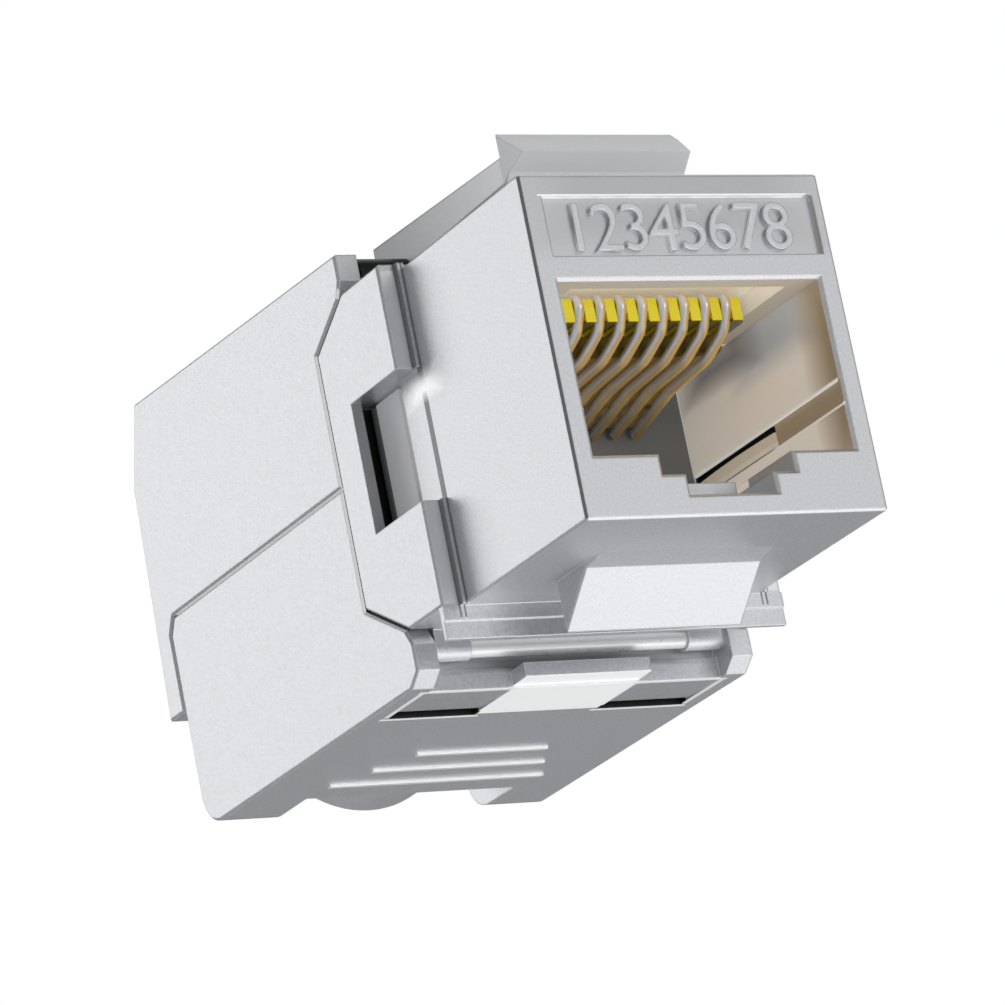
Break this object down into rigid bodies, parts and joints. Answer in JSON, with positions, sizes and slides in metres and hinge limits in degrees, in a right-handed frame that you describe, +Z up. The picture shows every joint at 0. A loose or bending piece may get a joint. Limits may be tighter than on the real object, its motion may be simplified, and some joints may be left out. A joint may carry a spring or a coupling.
{
  "type": "keystone jack",
  "caption": "Shielded snap-in network jack with a cast front housing, sprung panel latch and two hinged rear covers that close over the cable.",
  "frame": {"origin": "middle of the housing's front face, on the line that the jack goes into its panel along", "axes": "+X across the jack to the right seen from the front, +Y from the front face back to the cable, +Z up towards the sprung latch"},
  "size_m": [0.0166, 0.0364, 0.0216],
  "materials": {
    "zinc_casting": "satin nickel plate on a zinc casting",
    "steel_pin": "bright drawn steel",
    "spring_wire": "hard drawn spring wire",
    "plated_leaf": "plated spring strip",
    "gold_contact": "gold flash over nickel",
    "blade_metal": "tin plate",
    "yellow_plastic": "moulded, slightly clear",
    "dark_plastic": "moulded",
    "white_plastic": "moulded",
    "grey_plastic": "moulded",
    "board": "solder mask over glass fibre"
  },
  "bodies": {
    "housing": {"housing": "zinc_casting", "upper_hinge_pin": "steel_pin", "lower_hinge_pin": "steel_pin", "latch_spring": "spring_wire", "contact_carrier": "dark_plastic", "contact_comb": "yellow_plastic", "ground_spring_left": "plated_leaf", "ground_spring_right": "plated_leaf", "circuit_board": "board", "idc_block": "white_plastic", "wire_cap": "grey_plastic", "contact_spring_1": "gold_contact", "contact_spring_2": "gold_contact", "contact_spring_3": "gold_contact", "contact_spring_4": "gold_contact", "contact_spring_5": "gold_contact", "contact_spring_6": "gold_contact", "contact_spring_7": "gold_contact", "contact_spring_8": "gold_contact", "idc_blade_1": "blade_metal", "idc_blade_2": "blade_metal", "idc_blade_3": "blade_metal", "idc_blade_4": "blade_metal", "idc_blade_5": "blade_metal", "idc_blade_6": "blade_metal", "idc_blade_7": "blade_metal", "idc_blade_8": "blade_metal"},
    "upper_cover": {"upper_cover": "zinc_casting"},
    "lower_cover": {"lower_cover": "zinc_casting"},
    "panel_latch": {"panel_latch": "zinc_casting"}
  },
  "joints": [
    {"name": "upper_cover_hinge", "type": "hinge", "parent": "housing", "child": "upper_cover", "pos_m": [0, 0.01495, 0.00877], "axis": [1, 0, 0], "range_deg": [0, 85]},
    {"name": "lower_cover_hinge", "type": "hinge", "parent": "housing", "child": "lower_cover", "pos_m": [0, 0.0145, -0.00822], "axis": [-1, 0, 0], "range_deg": [0, 85]},
    {"name": "panel_latch_hinge", "type": "hinge", "parent": "housing", "child": "panel_latch", "pos_m": [0, 0.01495, 0.00877], "axis": [1, 0, 0], "range_deg": [0, 10], "stiffness_Nm_per_rad": 0.15, "springref_deg": -8.59, "deforming": ["latch_spring"]}
  ],
  "couplings": [
    {"joint": "lower_cover_hinge", "follows": "upper_cover_hinge", "ratio": 1}
  ]
}
